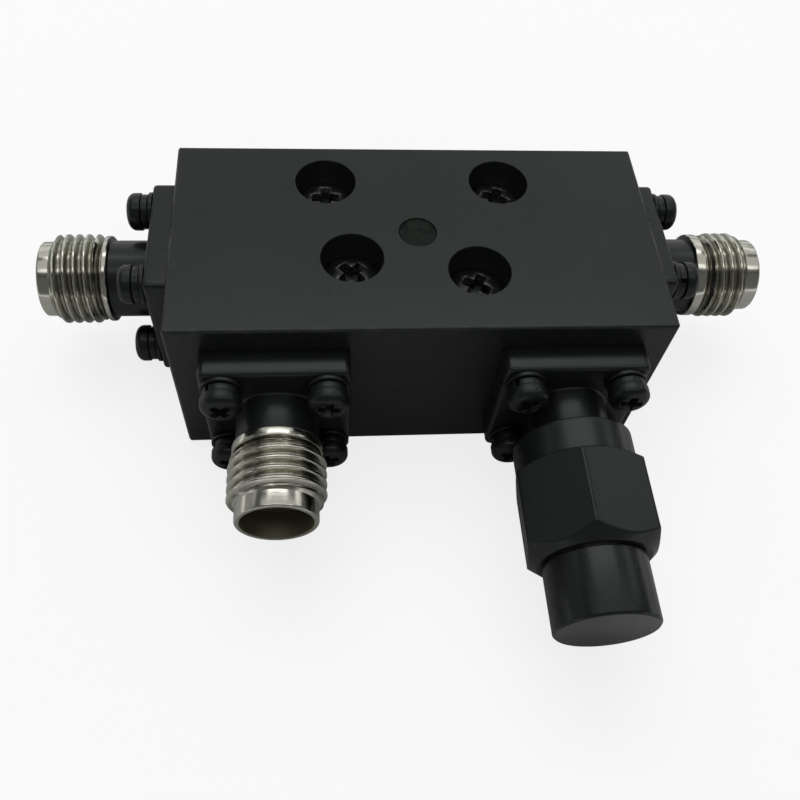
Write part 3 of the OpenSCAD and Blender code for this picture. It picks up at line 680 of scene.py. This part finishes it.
def shell_look(port):
    """Turned steel, painted from the flange to the shoulder ring with an uneven edge. Below its crests the
    thread is darker and browner in patches, partly dirt and partly painted shade in its hollows, while the
    crests keep the clean steel, and the mouth is darker and duller, painted shade inside the bore."""
    finish = Finish(port + "_turned_steel")
    s, r = along(finish, port)
    colour, rough, normal = paint_look(finish)
    cut = TURNED[port]
    limit = cut.paint_end + 0.3 * (finish.noise(1.1, 3.0, 0.6) - 0.5)
    bare = (s - limit).step(-0.03, 0.03)
    around = (0.02, 1.0, 0.02) if PORTS[port][2] == FRONT_TURN else (1.0, 0.02, 0.02)
    lines = finish.noise(0.05, 3.0, 0.7, around)
    stain = finish.noise(0.8, 3.0, 0.65)
    # The thread below its crests is darkened brown: partly dirt, partly painted shade in its hollows
    root = 1 - r.step(2.86, 3.13)
    threaded = s.step(cut.thread_s - 0.4, cut.thread_s - 0.2) * (1 - s.step(cut.lead_s - 0.2, cut.lead_s))
    grime_and_shade = root * threaded * stain.step(0.2, 0.55)
    # Darker, duller steel inside the mouth: painted shade in the bore
    inside = 1 - r.step(MOUTH_R + 0.02, MOUTH_R + 0.10)
    steel = finish.mix(stain, (0.54, 0.53, 0.46), (0.72, 0.71, 0.63))
    steel = finish.mix(grime_and_shade * 0.72, steel, (0.16, 0.145, 0.105))
    steel = finish.mix(inside, steel, (0.25, 0.23, 0.16))
    steel_rough = 0.16 + 0.10 * (stain - 0.5) + 0.10 * (lines - 0.5) + 0.06 * grime_and_shade + 0.36 * inside
    steel_normal = finish.bump(lines, 0.0035)
    return finish.set(Base_Color=finish.mix(bare, colour, steel), Metallic=bare,
                      Roughness=rough * (1 - bare) + steel_rough * bare,
                      Normal=finish.mix(bare, normal, steel_normal, "VECTOR"), **PAINT_GLOSS).material


def metal(name, low, high, rough):
    """Bare metal with soft stains and fine random scratches."""
    finish = Finish(name)
    stain, fine = finish.noise(0.6, 3.0, 0.6), finish.noise(0.06, 2.0, 0.6)
    return finish.set(Base_Color=finish.mix(stain, low, high), Metallic=1.0,
                      Roughness=rough + 0.12 * (stain - 0.5) + 0.08 * (fine - 0.5),
                      Normal=finish.bump(fine, 0.002)).material


def plastic(name, low, high, rough):
    """Dull insulating material with a faint grain."""
    finish = Finish(name)
    cloud, fine = finish.noise(0.4, 3.0, 0.6), finish.noise(0.08, 2.0, 0.6)
    return finish.set(Base_Color=finish.mix(cloud, low, high), Roughness=rough + 0.1 * (fine - 0.5),
                      Normal=finish.bump(fine, 0.006)).material


def laminate(name):
    """Pale board with the weave of its glass cloth."""
    finish = Finish(name)
    weave = finish.noise(0.3, 1.0, 0.4)
    return finish.set(Base_Color=finish.mix(weave, (0.62, 0.58, 0.46), (0.74, 0.70, 0.58)), Roughness=0.55,
                      Normal=finish.bump(weave, 0.01)).material


def dried_lacquer(name):
    """Dark green lacquer, glossy in places and dull where it shrank."""
    finish = Finish(name)
    cloud, fine = finish.noise(0.42, 3.0, 0.6), finish.noise(0.12, 3.0, 0.6)
    colour = finish.mix(cloud.step(0.35, 0.65), (0.0010, 0.0026, 0.0018), (0.0095, 0.015, 0.0085))
    return finish.set(Base_Color=colour, Roughness=0.34 + 0.30 * cloud.step(0.4, 0.65),
                      Normal=finish.bump(fine, 0.03), Specular_IOR_Level=0.1).material


def wear(o, material):
    o.data.materials.clear()
    o.data.materials.append(material)


# The screws and washers share the block's paint; shade 0.75 makes a darker copy of it, painted shade
painted_screw = paint("shaded_screw_paint", shade=0.75, gloss=-0.03)
looks = {
    "housing": paint("block_paint", block_edge),
    "cover_screws": shaded_cover_screw_black("shaded_cover_screw_black"),
    "nut": paint("nut_paint"),
    "cap": paint("cap_paint", gloss=0.03),
    "lacquer": dried_lacquer("sealing_lacquer_green"),
}
for key, o in made.items():
    if key.endswith("_shell"):
        wear(o, shell_look(key.removesuffix("_shell")))
    else:
        wear(o, looks.get(key, painted_screw))
gold = metal("contact_gold", (0.72, 0.50, 0.20), (0.85, 0.62, 0.28), 0.25)
insulator = plastic("insulator_white", (0.72, 0.69, 0.62), (0.80, 0.78, 0.72), 0.5)
inner = {
    "base_block": paint("base_paint"), "lower_board": laminate("board_laminate"),
    "through_line": metal("line_copper", (0.62, 0.32, 0.20), (0.75, 0.42, 0.27), 0.32),
    "tuning_screw": metal("tuning_brass", (0.60, 0.45, 0.18), (0.74, 0.58, 0.28), 0.3),
    "load_stem": metal("stem_steel", (0.50, 0.48, 0.44), (0.62, 0.60, 0.56), 0.28),
    "load_retainer": metal("retainer_bronze", (0.58, 0.38, 0.18), (0.70, 0.48, 0.24), 0.35),
    "load_gasket": plastic("gasket_silicone", (0.020, 0.020, 0.018), (0.035, 0.034, 0.030), 0.6),
    "load_resistor": plastic("resistor_ceramic", (0.60, 0.60, 0.57), (0.70, 0.70, 0.68), 0.45),
}
inner["upper_board"], inner["coupled_line"] = inner["lower_board"], inner["through_line"]
inner["load_pin"], inner["load_bead"] = gold, insulator
for name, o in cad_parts.items():
    if name.endswith("_contact"):
        wear(o, gold)
    elif name.endswith(("_bead", "_sleeve")) and name != "load_bead":
        wear(o, insulator)
    elif name in inner:
        wear(o, inner[name])


# Stage, light and camera

WHITE = (1.0, 1.0, 1.0, 1.0)


def staged(name, points, quads, finish):
    """Object of the stage from points in millimetres."""
    mesh = bpy.data.meshes.new(name)
    mesh.from_pydata((np.array(points) * MM).tolist(), [], quads)
    mesh.polygons.foreach_set("use_smooth", np.ones(len(mesh.polygons), bool))
    mesh.materials.append(finish.material)
    o = bpy.data.objects.new(name, mesh)
    bpy.context.scene.collection.objects.link(o)
    return o


def bowl():
    """Pale floor whose edge curves up into a low wall all round. Most of what the camera and reflections see
    of it is plain white, and the rest keeps the coupler's shadow."""
    angles = np.arange(96) * 2 * np.pi / 96
    line = filleted([(0, 0, 0), (0, 1500, 500), (900, 1500, 0)], 12) + (-0.02, 0)
    points, quads = patch(revolved(line, angles), wrap=True)
    finish = Finish("floor_white")
    finish.set(Base_Color=(0.92, 0.92, 0.92, 1), Roughness=0.9, Specular_IOR_Level=0.0)
    seen = sum(finish.node("LightPath", output=f"Is {kind} Ray")
               for kind in ("Camera", "Glossy", "Transmission"))
    glow = finish.node("Emission", inputs={"Color": WHITE, "Strength": 1.0})
    lit = Value(finish.tree, finish.shader.outputs[0])
    whole = finish.node("MixShader", inputs={0: seen.clamped() * 0.8, 1: lit, 2: glow})
    finish.tree.links.new(whole.socket, finish.tree.nodes["Material Output"].inputs[0])
    staged("floor", points, quads.tolist(), finish)


def panel(name, centre, size, radiance, glossy=True):
    """Soft lamp that faces the coupler, with its width along X, and gives this radiance. Its centre and size
    are shares of the height HIGH."""
    width, length = HIGH * size[0] * MM, HIGH * size[1] * MM
    lamp = bpy.data.lights.new(name, "AREA")
    lamp.shape, lamp.size, lamp.size_y = "RECTANGLE", width, length
    lamp.energy = radiance * math.pi * width * length
    o = bpy.data.objects.new(name, lamp)
    bpy.context.scene.collection.objects.link(o)
    back = Vector(centre).normalized()
    side = Vector((0, 1, 0)).cross(back).normalized()
    o.matrix_world = (Matrix.Translation(Vector(centre) * HIGH * MM)
                      @ Matrix((side, back.cross(side), back)).transposed().to_4x4())
    o.visible_camera = False
    o.visible_glossy = glossy


def card(name, corners, grey, glow=0.0):
    """Grey or evenly bright card that only reflections show: a painted reflection. The grey ones near the
    coupler paint the shadow on the floor round it into its reflections, and the bright ones paint the walls
    of a room, which light nothing else."""
    finish = Finish(name).set(Base_Color=(grey, grey, grey, 1), Roughness=1.0, Specular_IOR_Level=0.0,
                              Emission_Color=WHITE, Emission_Strength=glow)
    o = staged(name, corners, [(0, 1, 2, 3)], finish)
    o.visible_camera = o.visible_diffuse = o.visible_shadow = False


def level(x, y, z=0.0):
    """Corners of a level rectangle over a range in x and one in y."""
    return [(x[0], y[0], z), (x[0], y[1], z), (x[1], y[1], z), (x[1], y[0], z)]


def upright(start, end, top, foot=-10.0):
    """Corners of an upright rectangle over the line between two points of the floor."""
    return [(*start, foot), (*end, foot), (*end, top), (*start, top)]


bowl()

# Cards that only reflections show: grey ones just before the coupler and under it are its painted shadow on
# the floor, and bright ones are the painted walls of the room
NEAR, FAR = -BODY_W / 2 - 0.4, -27.5
card("floor_shadow_card", level((-16.5, 17.5), (NEAR, FAR)), 0.3)
card("load_shadow_card", level((2, 22), (FAR, -50)), 0.58)
card("wide_shadow_card", level((-60, 60), (50, -70), -0.01), 0.42)
card("front_card", upright((-800, -300), (800, -300), 400), 0.0, 0.13)
card("back_card", upright((-800, 800), (800, 800), 500), 0.0, 0.34)
card("left_card", upright((-700, -300), (-700, 800), 420), 0.0, 0.28)
card("right_card", upright((700, -300), (700, 800), 420), 0.0, 0.12)

# Lamps, at a height in millimetres
HIGH = 300.0
panel("back_panel", (0.1, 0.95, 1.0), (2.0, 0.6), 0.55)
panel("upper_strip", (0.05, 0.5, 1.0), (1.0, 0.2), 2.3)
panel("middle_panel", (0.1, 0.12, 1.0), (2.0, 0.52), 0.5)
panel("front_strip", (0.1, -0.26, 1.0), (1.5, 0.2), 1.4)
panel("far_panel", (0.0, 1.9, 0.75), (2.6, 0.9), 0.45)
panel("right_panel", (1.7, 0.8, 1.0), (0.6, 0.7), 0.72)
panel("fill", (-0.2, 0.5, 1.2), (1.2, 1.2), 1.7, glossy=False)
panel("front_fill", (0.1, -1.3, 0.5), (1.2, 1.0), 1.2, glossy=False)

world = bpy.data.worlds.new("air")
bpy.context.scene.world = world
world.use_nodes = True
air = world.node_tree.nodes["Background"]
air.inputs["Color"].default_value, air.inputs["Strength"].default_value = WHITE, 0.08

# The camera's focal length and picture width in pixels, the point it looks at, its distance from there, and
# its directions in degrees
FOCAL, PICTURE, SENSOR = 858.142, 800, 36.0
AIM, DISTANCE = (-1.501, -9.957, 8.0), 56.937
AZIMUTH, ELEVATION, ROLL = (math.radians(degrees) for degrees in (10.043, 57.496, 7.365))
camera = bpy.data.cameras.new("camera")
camera.sensor_fit, camera.sensor_width, camera.lens = "HORIZONTAL", SENSOR, FOCAL * SENSOR / PICTURE
camera.clip_start, camera.clip_end = 0.002, 10
eye = bpy.data.objects.new("camera", camera)
bpy.context.scene.collection.objects.link(eye)
ahead = Vector((math.sin(AZIMUTH) * math.cos(ELEVATION), math.cos(AZIMUTH) * math.cos(ELEVATION),
                -math.sin(ELEVATION)))
right = Vector((math.cos(AZIMUTH), -math.sin(AZIMUTH), 0))
up = right.cross(ahead)
across = right * math.cos(ROLL) + up * math.sin(ROLL)
upright_axis = up * math.cos(ROLL) - right * math.sin(ROLL)
place = (Vector(AIM) - ahead * DISTANCE) * MM
eye.matrix_world = Matrix.Translation(place) @ Matrix((across, upright_axis, -ahead)).transposed().to_4x4()
bpy.context.scene.camera = eye
bpy.context.scene.view_settings.view_transform = "Standard"
